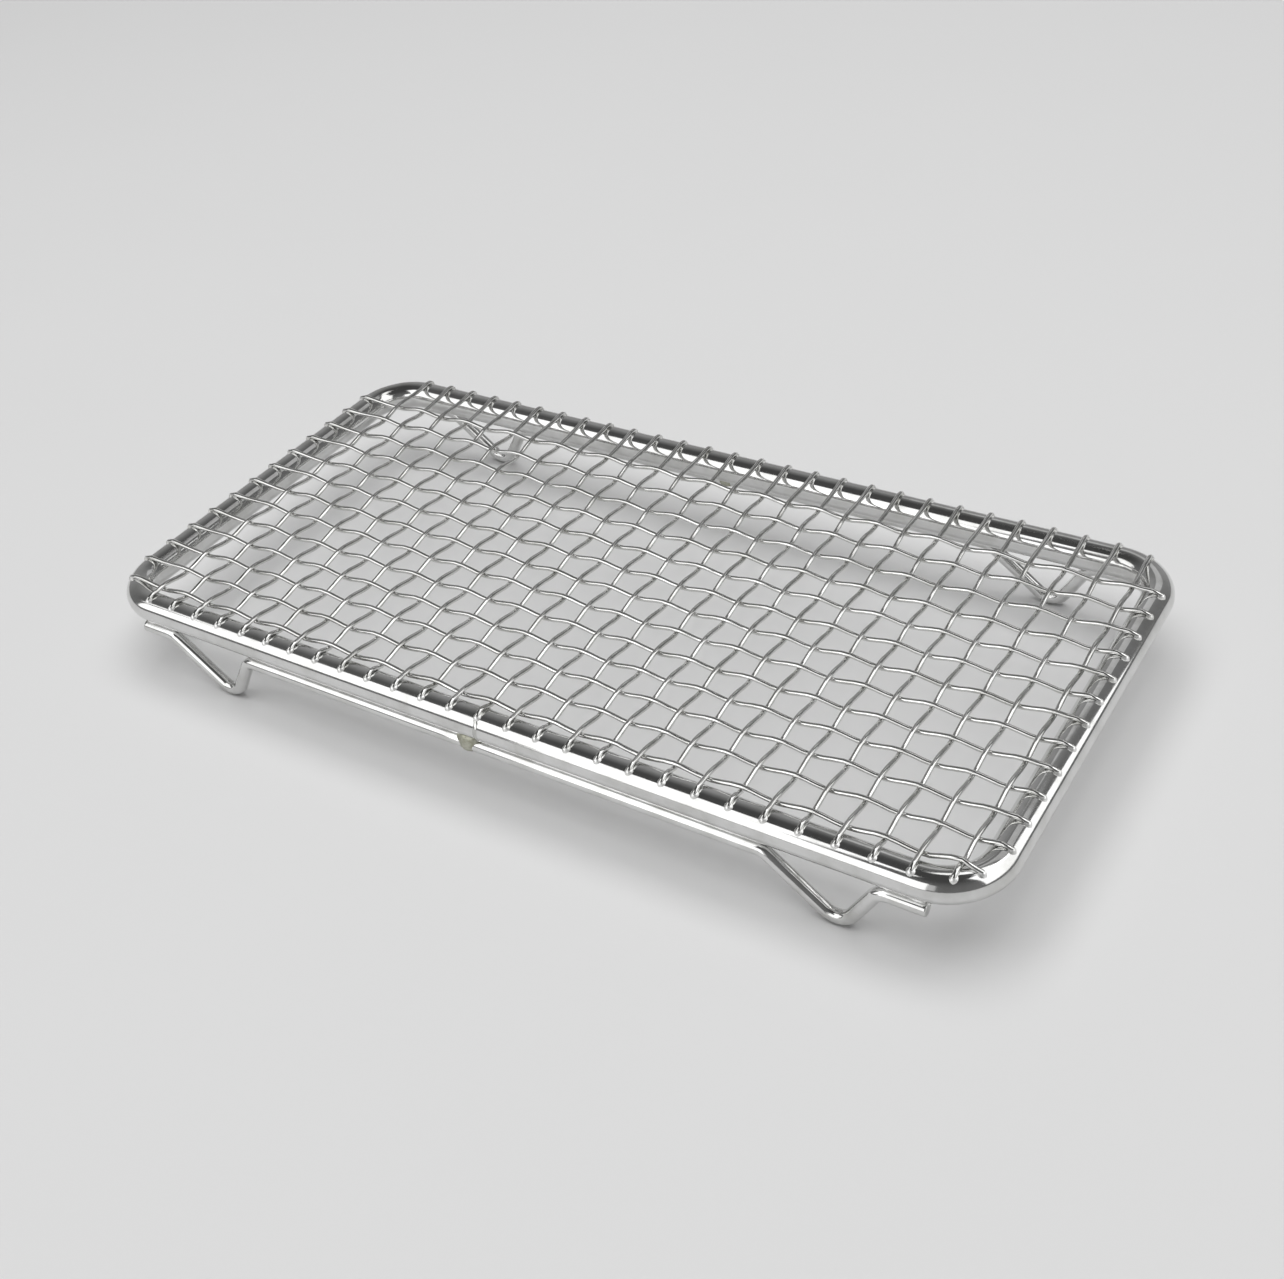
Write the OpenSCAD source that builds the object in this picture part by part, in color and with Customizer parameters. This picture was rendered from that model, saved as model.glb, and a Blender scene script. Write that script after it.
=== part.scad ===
// Footed cooling rack: a heavy wire rim, a plain-woven crimped wire mesh laid
// over the rim, and four leg wires under the long sides, each with one V foot.
// Millimetres. X runs along the rack, Y across it, Z up.
// The origin is on the resting surface, under the middle of the rim.

/* [Rack] */
// Overall length over the rim
rack_length = 254; // [254:1:300]
// Overall width over the rim
rack_width = 127; // [127:1:150]

/* [Rim] */
// Diameter of the rim wire
rim_d = 8; // [6:0.5:8.5]
// Bend radius of the rim's corners, at the wire's centre
corner_r = 13; // [11:0.5:14]
// Width of the weld that closes the rim
seam_width = 1.2; // [0.8:0.1:3]

/* [Mesh] */
// Diameter of a mesh wire
mesh_wire_d = 1.2; // [0.8:0.1:1.6]
// Distance between neighbouring mesh wires
mesh_pitch = 8.4; // [7.5:0.1:8.4]
// Number of wires across the rack, side by side along X
cross_wires = 28; // [20:1:28]
// Number of wires along the rack, side by side along Y
long_wires = 13; // [9:1:13]
// Offset of the mesh from the middle of the rim, along X
mesh_shift_x = 4; // [-4:0.5:4]
// Offset of the mesh from the middle of the rim, along Y
mesh_shift_y = -5; // [-5:0.5:5]
// Depth of the slight dish in the middle of the mesh
mesh_dish = 1.4; // [0:0.1:2]
// Angle past the rim's crown at which each mesh wire ends
wrap_angle = 26; // [15:1:40]

/* [Leg wires] */
// Diameter of a leg wire
leg_wire_d = 3.4; // [2.5:0.1:4]
// Place along X of the bottom of each left foot
left_foot_x = -86; // [-92:1:-70]
// Place along X of the bottom of each right foot
right_foot_x = 92; // [70:1:96]
// Depth of a V foot below the run of its wire
foot_drop = 12.3; // [9:0.1:15]
// Width of the long flank, on the left of a foot's bottom
long_flank = 17; // [14:0.5:19]
// Width of the steep flank, on the right of a foot's bottom
steep_flank = 10; // [9:0.5:14]
// Bend radius at the bottom of a foot, at the wire's centre
foot_bend_r = 4.6; // [3.5:0.1:6]
// Bend radius at the top of a foot, at the wire's centre
shoulder_bend_r = 4; // [3:0.1:6]
// Angle at which a leg wire sits outward of the bottom of the rim
leg_lean = 20; // [0:1:30]
// Distance of a leg wire's outer end from the middle of the rack
leg_end_x = 113; // [113:0.5:118]
// Place along X where the two leg wires of one side meet
joint_x = -4; // [-8:0.5:8]
// Gap between the two leg wires inside their joint
joint_gap = 2.6; // [1:0.1:5]
// Length of the weld that fills the joint
joint_weld_length = 6; // [5:0.5:10]

/* [Hidden] */
$fn = 48;
rim_r = rim_d / 2;
leg_r = leg_wire_d / 2;
mesh_wire_r = mesh_wire_d / 2;
// Half sizes of the rectangle that the rim's centre line follows
rim_half_x = rack_length / 2 - rim_r;
rim_half_y = rack_width / 2 - rim_r;
// Hairline that keeps welded neighbours from sharing metal
seat = 0.03;
// Height of the centre of the wire at the foot's lowest point, and along its run
foot_z = leg_r;
leg_run_z = foot_z + foot_drop;
rim_z = leg_run_z + (rim_r + leg_r + seat) * cos(leg_lean);
leg_y = rim_half_y + (rim_r + leg_r + seat) * sin(leg_lean);
// Mesh: the plane of the crossings at the rim, and the crimp to either side of it
crown_r = rim_r + mesh_wire_r + seat;
mesh_z = rim_z + rim_r + 0.1;
crimp = mesh_wire_r + 0.02;
// Each wire lies level for this distance to either side of a crossing
crossing_flat = 1;
// Half sizes of the dished area
dish_half_x = cross_wires * mesh_pitch / 2;
dish_half_y = long_wires * mesh_pitch / 2;
// Height of the rim's closing weld above the wire
seam_height = 0.15;
// Sides of a leg wire's section, and steps in each of its bends
tube_sides = 16;
bend_steps = 6;

function two_digits(n) = n < 10 ? str("0", n) : str(n);
function cross_name(i) = str("cross_wire_", two_digits(i + 1));
function long_name(i) = str("long_wire_", two_digits(i + 1));
function cross_x(i) = mesh_shift_x + (i - (cross_wires - 1) / 2) * mesh_pitch;
function long_y(i) = mesh_shift_y + (i - (long_wires - 1) / 2) * mesh_pitch;

// Long wire j passes over cross wire i where their numbers add up to an odd sum
function long_over(i, j) = (i + j) % 2 == 1;

// Height of the mesh's middle plane at a crossing, with its slight dish
function bowl(t, half) = max(0, 1 - (t / half) * (t / half));
function plane_z(i, j) = mesh_z
    - mesh_dish
    * bowl(cross_x(i) - mesh_shift_x, dish_half_x)
    * bowl(long_y(j) - mesh_shift_y, dish_half_y);

// How far a wire at t lies past the start of a corner
function into_corner(t, half) = max(0, abs(t) - (half - corner_r));
// Slope factor of the rim there: 1 on the straight, less round the corner
function corner_slope(t, half) = sqrt(1 - pow(into_corner(t, half) / corner_r, 2));
// Distance from the middle of the rack to the rim's crown, along the wire
function crown_reach(t, half_t, half_along) = half_along - corner_r + corner_r * corner_slope(t, half_t);

// Distance in plan from a point to the rim's centre line
function rim_gap(x, y) = let (
    dx = max(abs(x) - (rim_half_x - corner_r), 0),
    dy = max(abs(y) - (rim_half_y - corner_r), 0)
) abs(norm([dx, dy]) - corner_r);
// Lowest height at which a mesh wire clears the rim there
function rest_z(x, y) = rim_gap(x, y) < crown_r
    ? rim_z + sqrt(pow(crown_r, 2) - pow(rim_gap(x, y), 2))
    : 0;
// Height of the upper and of the lower wire where cross wire i and long wire j cross
function upper_z(i, j) = max(plane_z(i, j) + crimp, rest_z(cross_x(i), long_y(j)) + 2 * crimp);
function lower_z(i, j, x, y) = max(plane_z(i, j) - crimp, rest_z(x, y));

// Points [s, z] of a wire's last stretch, up over the crown of the rim
function wire_end(reach, slope) = [
    for (a = [slope < 1 ? 0 : -8, wrap_angle / 4, wrap_angle / 2, wrap_angle])
        [reach + crown_r * sin(a) / slope, rim_z + crown_r * cos(a)]
];
function mirrored(points) = [for (k = [len(points) - 1:-1:0]) [-points[k][0], points[k][1]]];

// Points [y, z] along cross wire i, from the front of the rim to the back
function cross_path(i) = let (
    x = cross_x(i),
    end = wire_end(crown_reach(x, rim_half_x, rim_half_y), corner_slope(x, rim_half_x))
) concat(
    mirrored(end),
    [for (j = [0:long_wires - 1], side = [-1, 1]) let (y = long_y(j) + side * crossing_flat)
        [y, long_over(i, j) ? lower_z(i, j, x, y) : upper_z(i, j)]],
    end
);

// Points [x, z] along long wire j, from the left of the rim to the right
function long_path(j) = let (
    y = long_y(j),
    end = wire_end(crown_reach(y, rim_half_y, rim_half_x), corner_slope(y, rim_half_y))
) concat(
    mirrored(end),
    [for (i = [0:cross_wires - 1], side = [-1, 1]) let (x = cross_x(i) + side * crossing_flat)
        [x, long_over(i, j) ? upper_z(i, j) : lower_z(i, j, x, y)]],
    end
);

// Points [x, z] on an arc about [x, z], from angle a over a sweep
function arc_points(x, z, bend_r, a, sweep, steps) = [
    for (k = [0:steps]) let (phi = a + sweep * k / steps) [x + bend_r * cos(phi), z + bend_r * sin(phi)]
];

// Slope of a foot's flank that is this wide and leaves its bottom bend tangentially
function flank_angle(width) =
    asin(foot_bend_r / norm([width, foot_drop - foot_bend_r]))
    + atan2(foot_drop - foot_bend_r, width);

// Points [x, z] from the bottom of a foot up a flank on its +X side and out to x = end
function foot_half_path(width, end) = let (
    slope = flank_angle(width),
    shoulder_x = width + shoulder_bend_r * tan(slope / 2)
) concat(
    arc_points(0, foot_z + foot_bend_r, foot_bend_r, 270, slope, bend_steps),
    arc_points(
        shoulder_x, leg_run_z - shoulder_bend_r, shoulder_bend_r,
        90 + slope, -slope, bend_steps
    ),
    [[end, leg_run_z]]
);

// A ribbon as thick as a mesh wire that follows points in the XZ plane
module crimped_wire(points) {
    outline = concat(
        [for (p = points) [p[0], p[1] - mesh_wire_r]],
        [for (k = [len(points) - 1:-1:0]) [points[k][0], points[k][1] + mesh_wire_r]]
    );
    rotate([90, 0, 0])
        translate([0, 0, -mesh_wire_r])
            linear_extrude(height = mesh_wire_d)
                polygon(outline);
}

module cross_wire(i) {
    color("gainsboro")
        translate([cross_x(i), 0, 0])
            rotate([0, 0, 90])
                crimped_wire(cross_path(i));
}

module long_wire(j) {
    color("gainsboro")
        translate([0, long_y(j), 0])
            crimped_wire(long_path(j));
}

// A round bar along X, centred on the origin
module bar_x(length, d) {
    rotate([0, 90, 0])
        cylinder(d = d, h = length, center = true);
}

// A quarter bend in the XY plane, from +X round to +Y
module quarter_bend(bend_r, d) {
    rotate_extrude(angle = 90)
        translate([bend_r, 0])
            circle(d = d);
}

module rim() {
    straight_x = 2 * (rim_half_x - corner_r);
    straight_y = 2 * (rim_half_y - corner_r);
    color("silver")
        translate([0, 0, rim_z])
            union() {
                for (side = [-1, 1]) {
                    translate([0, side * rim_half_y, 0])
                        bar_x(straight_x, rim_d);
                    translate([side * rim_half_x, 0, 0])
                        rotate([0, 0, 90])
                            bar_x(straight_y, rim_d);
                }
                for (corner = [0:3]) {
                    sx = (corner == 0 || corner == 3) ? 1 : -1;
                    sy = corner < 2 ? 1 : -1;
                    translate([sx * straight_x / 2, sy * straight_y / 2, 0])
                        rotate([0, 0, 90 * corner])
                            quarter_bend(corner_r, rim_d);
                }
            }
}

// The raised line of the butt weld, a collar round the front of the rim
module rim_weld() {
    color("darkgray")
        translate([0, -rim_half_y, rim_z])
            difference() {
                bar_x(seam_width, rim_d + 2 * seam_height);
                bar_x(seam_width + 2, rim_d + 0.02);
            }
}

// A closed tube of one diameter along points [x, z] in the XZ plane
module swept_tube(points, d) {
    last = len(points) - 1;
    rings = [for (k = [0:last]) let (
        along = points[min(k + 1, last)] - points[max(k - 1, 0)],
        side = [-along[1], along[0]] / norm(along)
    ) for (m = [0:tube_sides - 1]) let (phi = 360 * m / tube_sides) [
        points[k][0] + d / 2 * cos(phi) * side[0],
        d / 2 * sin(phi),
        points[k][1] + d / 2 * cos(phi) * side[1]
    ]];
    walls = [for (k = [0:last - 1], m = [0:tube_sides - 1]) let (next = (m + 1) % tube_sides) [
        k * tube_sides + next,
        (k + 1) * tube_sides + next,
        (k + 1) * tube_sides + m,
        k * tube_sides + m
    ]];
    start_cap = [for (m = [tube_sides - 1:-1:0]) m];
    end_cap = [for (m = [0:tube_sides - 1]) last * tube_sides + m];
    polyhedron(points = rings, faces = concat([start_cap], walls, [end_cap]));
}

// A leg wire that runs from x = start to x = end, with the bottom of its foot at x = foot
module leg_wire(side, start, foot, end) {
    left = mirrored(foot_half_path(long_flank, foot - start));
    right = foot_half_path(steep_flank, end - foot);
    path = concat(left, [for (k = [1:len(right) - 1]) right[k]]);
    color("lightgray")
        translate([foot, side * leg_y, 0])
            swept_tube(path, leg_wire_d);
}

module leg_wire_left(side) {
    leg_wire(side, -leg_end_x, left_foot_x, joint_x - joint_gap / 2);
}

module leg_wire_right(side) {
    leg_wire(side, joint_x + joint_gap / 2, right_foot_x, leg_end_x);
}

// The blob of metal that joins two leg wires, clear of the wires and the rim
module leg_weld(side) {
    half = joint_weld_length / 2;
    bulge = leg_r + 0.5;
    barrel = [
        [0, -half],
        [leg_r, -half],
        [bulge, -half / 2],
        [bulge, half / 2],
        [leg_r, half],
        [0, half]
    ];
    color("darkgray")
        difference() {
            translate([joint_x, side * leg_y, leg_run_z])
                rotate([0, 90, 0])
                    rotate_extrude()
                        polygon(barrel);
            translate([0, side * rim_half_y, rim_z])
                bar_x(joint_weld_length * 4, rim_d + 0.04);
            for (end = [-1, 1])
                translate([joint_x + end * (joint_gap / 2 + half + 1), side * leg_y, leg_run_z])
                    bar_x(joint_weld_length + 2, leg_wire_d + 0.02);
        }
}

rim();
rim_weld();
for (i = [0:cross_wires - 1])
    cross_wire(i);
for (j = [0:long_wires - 1])
    long_wire(j);
leg_wire_left(-1);  // leg_wire_front_left
leg_wire_right(-1);  // leg_wire_front_right
leg_wire_left(1);  // leg_wire_back_left
leg_wire_right(1);  // leg_wire_back_right
leg_weld(-1);  // leg_weld_front
leg_weld(1);  // leg_weld_back
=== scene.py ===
"""Looks of a footed wire cooling rack: a plated rim, a woven wire mesh and bent leg wires."""

import logging
import math
from collections.abc import Callable, Iterable, Sequence
from dataclasses import dataclass, field
from enum import Enum

import bpy
from mathutils import Matrix, Quaternion, Vector


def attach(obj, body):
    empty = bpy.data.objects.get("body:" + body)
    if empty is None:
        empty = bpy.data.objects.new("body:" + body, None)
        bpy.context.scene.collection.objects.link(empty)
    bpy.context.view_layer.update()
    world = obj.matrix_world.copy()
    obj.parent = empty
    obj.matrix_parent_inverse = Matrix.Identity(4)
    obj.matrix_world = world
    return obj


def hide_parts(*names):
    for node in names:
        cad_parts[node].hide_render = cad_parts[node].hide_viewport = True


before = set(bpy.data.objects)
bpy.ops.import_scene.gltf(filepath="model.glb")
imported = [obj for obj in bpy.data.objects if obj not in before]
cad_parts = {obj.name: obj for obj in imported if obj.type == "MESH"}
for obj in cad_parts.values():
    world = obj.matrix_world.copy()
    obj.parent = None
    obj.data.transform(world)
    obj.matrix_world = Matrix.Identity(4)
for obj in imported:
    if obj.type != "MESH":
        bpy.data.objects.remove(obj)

LOG = logging.getLogger("cooling_rack")
Point = tuple[float, float, float]
MM = 0.001
ORIGIN: Point = (0.0, 0.0, 0.0)
# Turn that lays an upright circle, ball or cylinder along X
LAID_ALONG_X: Point = (0.0, math.pi / 2, 0.0)
# Distance within which vertices merge, in metres
MERGE = 0.00001
# Angle above which an edge stays sharp, on a wire with cut ends and on a piece round all over
CUT_WIRE_CREASE = 50.0
ROUND_CREASE = 60.0
# The rack's long sides, and the way each lies across it
LONG_SIDES = (("front", -1), ("back", 1))


class Slot(Enum):
    """Material slot names, which dress takes but does not use."""

    RIM = "rim_chrome"
    MESH = "mesh_chrome"
    LEG = "leg_chrome"
    WELD = "weld_metal"


class Run(Enum):
    """The way a drawn wire runs, which its fine drawing lines follow."""

    ALONG_X = (0.04, 1.0, 1.0)
    ALONG_Y = (1.0, 0.04, 1.0)
    BENT = (1.0, 1.0, 1.0)


# ---------------------------------------------------------------- modelling by hand


def pick(obj: bpy.types.Object) -> None:
    """Makes one object the active and only selected one.

    Args:
        obj: The object.
    """
    deselect()
    bpy.context.view_layer.objects.active = obj
    obj.select_set(True)


def edit(obj: bpy.types.Object) -> None:
    """Opens one object in edit mode, with nothing else selected.

    Args:
        obj: The mesh object to shape.
    """
    pick(obj)
    bpy.ops.object.mode_set(mode="EDIT")


def leave_edit() -> None:
    """Goes back to object mode."""
    bpy.ops.object.mode_set(mode="OBJECT")


def deselect() -> None:
    """Deselects every object."""
    if bpy.context.object is not None and bpy.context.object.mode != "OBJECT":
        bpy.ops.object.mode_set(mode="OBJECT")
    bpy.ops.object.select_all(action="DESELECT")


def pick_verts(obj: bpy.types.Object, wanted: Callable[[Vector], bool]) -> None:
    """Selects the vertices that a test picks, and the edges and faces between them.

    Args:
        obj: The mesh object, open in edit mode.
        wanted: The test on a vertex's place.
    """
    bpy.ops.mesh.select_mode(type="VERT")
    bpy.ops.mesh.select_all(action="DESELECT")
    bpy.ops.object.mode_set(mode="OBJECT")
    for vertex in obj.data.vertices:
        vertex.select = wanted(vertex.co)
    bpy.ops.object.mode_set(mode="EDIT")
    bpy.ops.mesh.select_mode(type="VERT")


def pick_edges(obj: bpy.types.Object, wanted: Callable[[Vector, Vector], bool]) -> None:
    """Selects the edges that a test picks.

    Args:
        obj: The mesh object, open in edit mode.
        wanted: The test on an edge's two ends.
    """
    bpy.ops.mesh.select_mode(type="EDGE")
    bpy.ops.mesh.select_all(action="DESELECT")
    bpy.ops.object.mode_set(mode="OBJECT")
    verts = obj.data.vertices
    for edge in obj.data.edges:
        edge.select = wanted(verts[edge.vertices[0]].co, verts[edge.vertices[1]].co)
    bpy.ops.object.mode_set(mode="EDIT")


def close_up() -> None:
    """Merges doubles in the object that is being edited and turns its faces outwards."""
    bpy.ops.mesh.select_all(action="SELECT")
    bpy.ops.mesh.remove_doubles(threshold=MERGE)
    bpy.ops.mesh.normals_make_consistent(inside=False)
    leave_edit()


def face_outwards() -> None:
    """Turns the faces of the object that is being edited outwards and leaves edit mode."""
    bpy.ops.mesh.select_all(action="SELECT")
    bpy.ops.mesh.normals_make_consistent(inside=False)
    leave_edit()


def resize(factors: Point) -> None:
    """Resizes what is selected about the origin.

    Args:
        factors: The factor along each axis.
    """
    bpy.ops.transform.resize(value=factors, center_override=ORIGIN)


def settle(obj: bpy.types.Object) -> None:
    """Puts an object's place, turn and scale into its mesh.

    Args:
        obj: The mesh object.
    """
    pick(obj)
    bpy.ops.object.transform_apply(location=True, rotation=True, scale=True)


def apply_modifiers(obj: bpy.types.Object) -> None:
    """Applies every modifier of an object, in order.

    Args:
        obj: The mesh object.
    """
    pick(obj)
    for name in [modifier.name for modifier in obj.modifiers]:
        bpy.ops.object.modifier_apply(modifier=name)


def smooth(obj: bpy.types.Object, degrees: float) -> None:
    """Shades an object smooth, but for edges sharper than an angle.

    Args:
        obj: The mesh object.
        degrees: The angle above which an edge stays sharp.
    """
    pick(obj)
    bpy.ops.object.shade_smooth_by_angle(angle=math.radians(degrees))


def copy_of(obj: bpy.types.Object, name: str) -> bpy.types.Object:
    """Copies an object together with its mesh.

    Args:
        obj: The object that was modelled.
        name: The copy's name.

    Returns:
        The copy, with a mesh of its own.
    """
    made = obj.copy()
    made.data = obj.data.copy()
    made.name = name
    made.data.name = name
    bpy.context.scene.collection.objects.link(made)
    return made


def drop(obj: bpy.types.Object) -> None:
    """Removes a helper object and its data.

    Args:
        obj: The mesh or curve object.
    """
    data = obj.data
    bpy.data.objects.remove(obj)
    if isinstance(data, bpy.types.Mesh):
        bpy.data.meshes.remove(data)
    else:
        bpy.data.curves.remove(data)


def break_cut_ends(wire: bpy.types.Object, width: float, segments: int) -> None:
    """Bevels the sharp edge round each cut end of a wire.

    Args:
        wire: The wire, whose end caps are its only faces with more than four sides.
        width: Width of the bevel, in millimetres.
        segments: Number of steps in the bevel.
    """
    edit(wire)
    bpy.ops.mesh.select_mode(type="FACE")
    bpy.ops.mesh.select_all(action="DESELECT")
    bpy.ops.mesh.select_face_by_sides(number=4, type="GREATER")
    bpy.ops.mesh.region_to_loop()
    bpy.ops.mesh.bevel(offset=width * MM, segments=segments, affect="EDGES")
    face_outwards()
    smooth(wire, CUT_WIRE_CREASE)


def join_as(parts: list[bpy.types.Object], name: str) -> bpy.types.Object:
    """Joins finished pieces into one.

    Args:
        parts: The pieces.
        name: The joined piece's name.

    Returns:
        The joined piece.
    """
    deselect()
    for part in parts:
        part.select_set(True)
    bpy.context.view_layer.objects.active = parts[0]
    bpy.ops.object.join()
    joined = bpy.context.object
    joined.name = name
    settle(joined)
    edit(joined)
    face_outwards()
    smooth(joined, ROUND_CREASE)
    return joined


def ellipsoid(
    name: str, segments: int, rings: int, radii: Point, turn: Point = ORIGIN
) -> bpy.types.Object:
    """Models a ball, resizes it and leaves it open in edit mode.

    Args:
        name: Its name.
        segments: Segments round its axis.
        rings: Rings from pole to pole.
        radii: Its half sizes, in millimetres.
        turn: How the ball is turned before it is resized.

    Returns:
        The ellipsoid, centred on the origin.
    """
    deselect()
    bpy.ops.mesh.primitive_uv_sphere_add(
        segments=segments, ring_count=rings, radius=MM, rotation=turn
    )
    ball = bpy.context.object
    ball.name = name
    settle(ball)
    edit(ball)
    bpy.ops.mesh.select_all(action="SELECT")
    resize(radii)
    return ball


def guide_line(points: Sequence[Point]) -> bpy.types.Object:
    """Lays out a line for a wire to follow.

    Args:
        points: The line's points, in metres.

    Returns:
        A curve object, to be dropped after use.
    """
    data = bpy.data.curves.new("guide", "CURVE")
    data.dimensions = "3D"
    data.twist_mode = "Z_UP"
    spline = data.splines.new("POLY")
    spline.points.add(len(points) - 1)
    for knot, place in zip(spline.points, points):
        knot.co = (*place, 1.0)
    made = bpy.data.objects.new("guide", data)
    bpy.context.scene.collection.objects.link(made)
    return made


def length_of(points: Sequence[Point]) -> float:
    """Measures a line.

    Args:
        points: The line's points, in metres.

    Returns:
        Its length, in metres.
    """
    return sum((Vector(b) - Vector(a)).length for a, b in zip(points, points[1:]))


# ---------------------------------------------------------------- finishes


@dataclass
class NodeSheet:
    """A material's node sheet, with short ways to add to it."""

    name: str
    material: bpy.types.Material = field(init=False)
    shader: bpy.types.Node = field(init=False)

    def __post_init__(self) -> None:
        """Makes the material and finds its shader."""
        self.material = bpy.data.materials.new(self.name)
        self.material.use_nodes = True
        self.shader = self.material.node_tree.nodes["Principled BSDF"]

    def add(self, kind: str, **values: object) -> bpy.types.Node:
        """Adds a node.

        Args:
            kind: The node's type.
            values: Its properties.

        Returns:
            The node.
        """
        node = self.material.node_tree.nodes.new(kind)
        for key, value in values.items():
            setattr(node, key, value)
        return node

    def link(self, source: bpy.types.NodeSocket, target: bpy.types.NodeSocket) -> None:
        """Joins an output to an input."""
        self.material.node_tree.links.new(source, target)

    def place(self, stretch: Point) -> bpy.types.NodeSocket:
        """Gives the place on the piece, stretched.

        Args:
            stretch: Scale along each axis.

        Returns:
            The stretched place.
        """
        coords = self.add("ShaderNodeTexCoord")
        mapping = self.add("ShaderNodeMapping")
        mapping.inputs["Scale"].default_value = stretch
        self.link(coords.outputs["Object"], mapping.inputs["Vector"])
        return mapping.outputs["Vector"]

    def noise(
        self, place: bpy.types.NodeSocket, scale: float, detail: float, rough: float = 0.5
    ) -> bpy.types.NodeSocket:
        """Adds a noise pattern.

        Args:
            place: Where it is read.
            scale: Patches to a metre.
            detail: Its octaves.
            rough: The share of fine detail.

        Returns:
            The pattern, from 0 to 1.
        """
        node = self.add("ShaderNodeTexNoise")
        node.inputs["Scale"].default_value = scale
        node.inputs["Detail"].default_value = detail
        node.inputs["Roughness"].default_value = rough
        self.link(place, node.inputs["Vector"])
        return node.outputs["Fac"]

    def spread(
        self, value: bpy.types.NodeSocket, low: float, high: float, to: tuple[float, float]
    ) -> bpy.types.NodeSocket:
        """Maps a pattern's range to another.

        Args:
            value: The pattern.
            low: Value that becomes the first of to.
            high: Value that becomes the second of to.
            to: The new range.

        Returns:
            The mapped pattern, clamped.
        """
        node = self.add("ShaderNodeMapRange")
        node.inputs["From Min"].default_value = low
        node.inputs["From Max"].default_value = high
        node.inputs["To Min"].default_value = to[0]
        node.inputs["To Max"].default_value = to[1]
        self.link(value, node.inputs["Value"])
        return node.outputs["Result"]

    def sum(self, a: bpy.types.NodeSocket, b: bpy.types.NodeSocket) -> bpy.types.NodeSocket:
        """Adds two patterns.

        Args:
            a: One pattern.
            b: The other.

        Returns:
            Their sum.
        """
        node = self.add("ShaderNodeMath", operation="ADD")
        self.link(a, node.inputs[0])
        self.link(b, node.inputs[1])
        return node.outputs["Value"]

    def blend(
        self, amount: bpy.types.NodeSocket, first: Sequence[float], second: Sequence[float]
    ) -> bpy.types.NodeSocket:
        """Blends two colours by a pattern.

        Args:
            amount: The pattern.
            first: Colour at 0.
            second: Colour at 1.

        Returns:
            The colour.
        """
        node = self.add("ShaderNodeMix", data_type="RGBA")
        node.inputs["A"].default_value = (*first, 1.0)
        node.inputs["B"].default_value = (*second, 1.0)
        self.link(amount, node.inputs["Factor"])
        return node.outputs["Result"]

    def bump(self, height: bpy.types.NodeSocket, strength: float, distance: float) -> None:
        """Raises the surface by a pattern.

        Args:
            height: The pattern.
            strength: How strongly it shows.
            distance: Its height, in metres.
        """
        node = self.add("ShaderNodeBump")
        node.inputs["Strength"].default_value = strength
        node.inputs["Distance"].default_value = distance
        self.link(height, node.inputs["Height"])
        self.link(node.outputs["Normal"], self.shader.inputs["Normal"])


@dataclass(frozen=True)
class ChromeFinish:
    """Bright plating on drawn wire: nearly a mirror, with drawing lines, smudges and scuffs."""

    name: str
    bright: Point
    dull: Point
    run: Run
    polish: tuple[float, float]
    waviness: float
    smudges: float = 130.0
    lines: float = 5200.0
    pits: float = 3600.0
    flow: float = 420.0
    relief_height: float = 0.00002

    def make(self) -> bpy.types.Material:
        """Makes the material.

        Returns:
            The plated metal.
        """
        sheet = NodeSheet(self.name)
        plain = sheet.place((1.0, 1.0, 1.0))
        drawn = sheet.place(self.run.value)
        smudge = sheet.noise(plain, self.smudges, 4.0, 0.55)
        lines = sheet.noise(drawn, self.lines, 3.0, 0.6)
        pits = sheet.noise(plain, self.pits, 2.0, 0.5)
        flow = sheet.noise(drawn, self.flow, 2.0, 0.4)
        tint = sheet.blend(sheet.spread(smudge, 0.42, 0.7, (0.0, 1.0)), self.bright, self.dull)
        sheet.link(tint, sheet.shader.inputs["Base Color"])
        worn = sheet.sum(
            sheet.spread(smudge, 0.45, 0.75, self.polish),
            sheet.spread(pits, 0.62, 0.8, (0.0, 0.12)),
        )
        sheet.link(worn, sheet.shader.inputs["Roughness"])
        relief = sheet.sum(
            sheet.spread(lines, 0.3, 0.7, (0.0, 0.25)), sheet.spread(flow, 0.2, 0.8, (0.0, 1.0))
        )
        sheet.bump(relief, self.waviness, self.relief_height)
        sheet.shader.inputs["Metallic"].default_value = 1.0
        return sheet.material


@dataclass(frozen=True)
class WeldFinish:
    """Dull weld metal under thin plating, with heat colours and a rippled skin."""

    name: str
    pale: Point
    burnt: Point
    patches: float = 700.0
    grains: float = 2600.0
    relief_height: float = 0.0001

    def make(self) -> bpy.types.Material:
        """Makes the material.

        Returns:
            The weld metal.
        """
        sheet = NodeSheet(self.name)
        plain = sheet.place((1.0, 1.0, 1.0))
        patch = sheet.noise(plain, self.patches, 3.0, 0.6)
        grain = sheet.noise(plain, self.grains, 3.0, 0.6)
        sheet.link(
            sheet.blend(sheet.spread(patch, 0.35, 0.65, (0.0, 1.0)), self.pale, self.burnt),
            sheet.shader.inputs["Base Color"],
        )
        sheet.link(sheet.spread(grain, 0.3, 0.7, (0.35, 0.6)), sheet.shader.inputs["Roughness"])
        sheet.bump(sheet.sum(grain, patch), 0.5, self.relief_height)
        sheet.shader.inputs["Metallic"].default_value = 1.0
        return sheet.material


@dataclass(frozen=True)
class PaintFinish:
    """Matt studio paint or paper."""

    name: str
    colour: Point
    roughness: float = 0.8
    mottle: float = 9.0
    darker_share: float = 0.985

    def make(self) -> bpy.types.Material:
        """Makes the material.

        Returns:
            The paint.
        """
        sheet = NodeSheet(self.name)
        tone = sheet.noise(sheet.place((1.0, 1.0, 1.0)), self.mottle, 2.0)
        darker = tuple(self.darker_share * value for value in self.colour)
        sheet.link(sheet.blend(tone, self.colour, darker), sheet.shader.inputs["Base Color"])
        sheet.shader.inputs["Roughness"].default_value = self.roughness
        return sheet.material


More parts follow.
